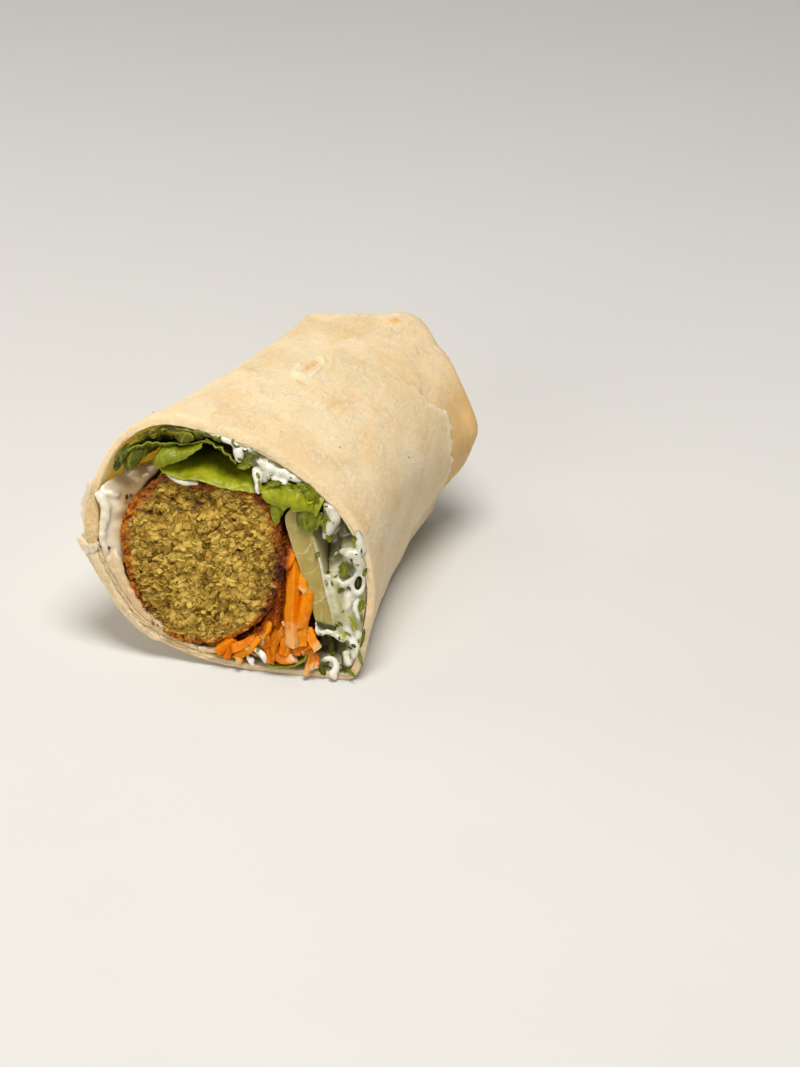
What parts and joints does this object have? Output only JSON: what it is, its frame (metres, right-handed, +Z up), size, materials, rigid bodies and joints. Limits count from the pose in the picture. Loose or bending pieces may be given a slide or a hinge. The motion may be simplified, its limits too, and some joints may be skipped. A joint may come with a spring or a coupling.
{
  "type": "falafel wrap half",
  "caption": "Half of a rolled flatbread wrap with falafel, lettuce, cucumber, carrot and white herb sauce, cut on the slant, its far end tucked closed.",
  "frame": {"origin": "middle of the bounding box's bottom face, on the table", "axes": "+Y along the wrap from the cut face towards the tucked closed end, +Z up, +X to the right as seen from the cut"},
  "size_m": [0.0729, 0.1118, 0.059],
  "materials": {
    "tortilla": "matte, floury, with pale toasted spots",
    "falafel": "coarse moist crumb with a fried brown crust",
    "lettuce_back": "satin, veined leaf",
    "lettuce_front": "satin, veined leaf",
    "lettuce_side": "satin, veined leaf",
    "cucumber": "wet, translucent flesh with a dark green skin",
    "carrot_shreds": "moist grated carrot, partly coated in sauce",
    "yogurt_sauce": "thick and smooth, softly glossy",
    "herb_sauce": "softly glossy, with chopped herbs in it",
    "herb_sauce_top": "softly glossy, with chopped herbs in it"
  },
  "bodies": {
    "root": {"tortilla": "tortilla", "falafel": "falafel", "lettuce_back": "lettuce_back", "lettuce_front": "lettuce_front", "lettuce_side": "lettuce_side", "cucumber": "cucumber", "carrot_shreds": "carrot_shreds", "yogurt_sauce": "yogurt_sauce", "herb_sauce": "herb_sauce", "herb_sauce_top": "herb_sauce_top"}
  },
  "joints": []
}
